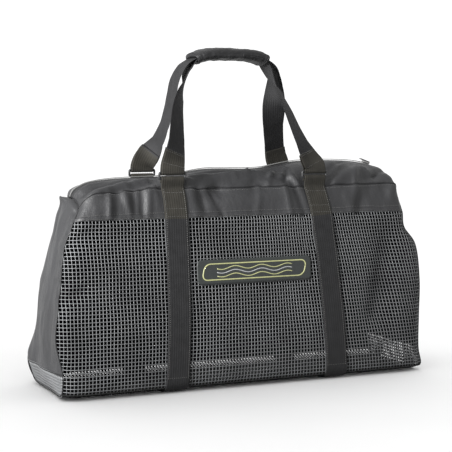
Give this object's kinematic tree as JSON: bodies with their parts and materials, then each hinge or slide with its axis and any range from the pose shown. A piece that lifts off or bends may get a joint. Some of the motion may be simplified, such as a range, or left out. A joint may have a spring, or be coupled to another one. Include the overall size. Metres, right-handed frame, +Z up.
{
  "type": "mesh dive gear bag",
  "caption": "Long soft gear bag with a net front and bottom, a nylon top with a zip, webbing straps round the body and two handles joined by a padded wrap.",
  "frame": {"origin": "on the floor under the middle of the bag", "axes": "+X along the bag, -Y towards the net front, +Z up"},
  "size_m": [0.8458, 0.267, 0.7],
  "materials": {
    "nylon": "coated nylon cloth with a soft sheen",
    "net": "coated polyester net, slightly glossy strands",
    "webbing": "ribbed polypropylene webbing",
    "plastic": "moulded black plastic",
    "zip": "moulded zip teeth",
    "patch": "dark sewn patch with a pale edge, no lettering"
  },
  "bodies": {
    "root": {"front_net": "net", "bottom_net": "net", "left_corner_net": "net", "right_corner_net": "net", "front_yoke": "nylon", "back_panel": "nylon", "lid_front": "nylon", "lid_back": "nylon", "left_gusset": "nylon", "right_gusset": "nylon", "grip_wrap": "nylon", "zip_tape": "webbing", "left_body_strap": "webbing", "right_body_strap": "webbing", "front_handle": "webbing", "back_handle": "webbing", "ring_front_left": "plastic", "ring_front_right": "plastic", "ring_back_left": "plastic", "ring_back_right": "plastic", "zip_pull": "plastic", "zip_chain": "zip", "zip_slider": "zip", "patch": "patch"}
  },
  "joints": []
}
